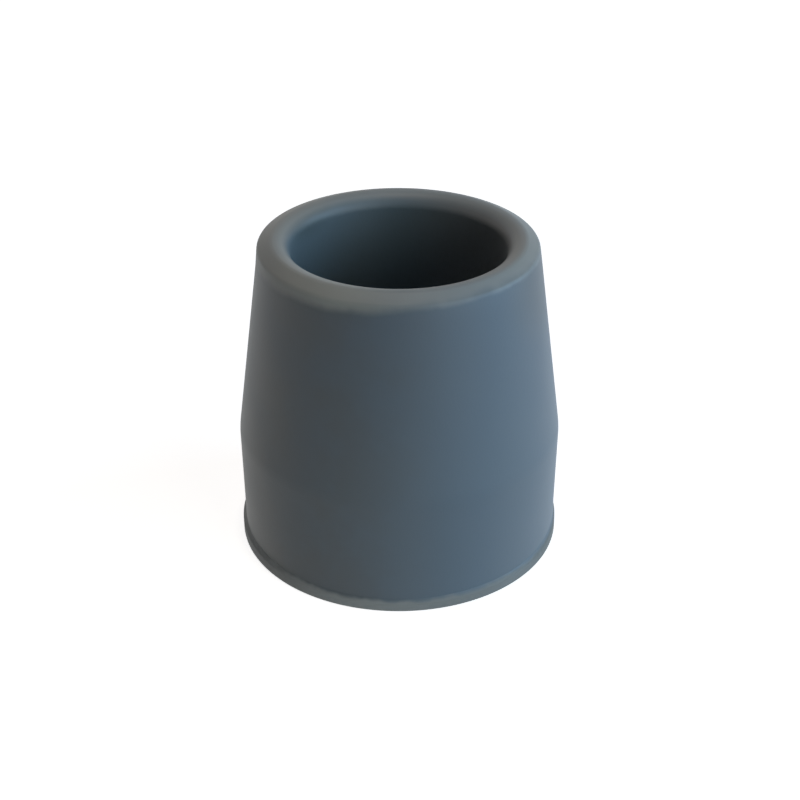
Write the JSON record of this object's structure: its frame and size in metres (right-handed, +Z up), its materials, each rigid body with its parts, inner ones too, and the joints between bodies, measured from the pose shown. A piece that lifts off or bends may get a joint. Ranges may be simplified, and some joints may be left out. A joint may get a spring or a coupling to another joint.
{
  "type": "rubber cane tip",
  "caption": "Blunt moulded rubber ferrule for a walking cane: tapered body with a low waist, thick rim that falls away outwards, blind socket, thin lip at the foot and a sole with ring grooves.",
  "frame": {"origin": "middle of the sole, on the floor that the tip stands on", "axes": "+Z up along the socket's axis, out of its mouth; the tip is round about Z, so X and Y are alike"},
  "size_m": [0.0346, 0.0346, 0.034],
  "materials": {
    "rubber": "matte moulded"
  },
  "bodies": {
    "root": {"rubber_tip": "rubber"}
  },
  "joints": []
}
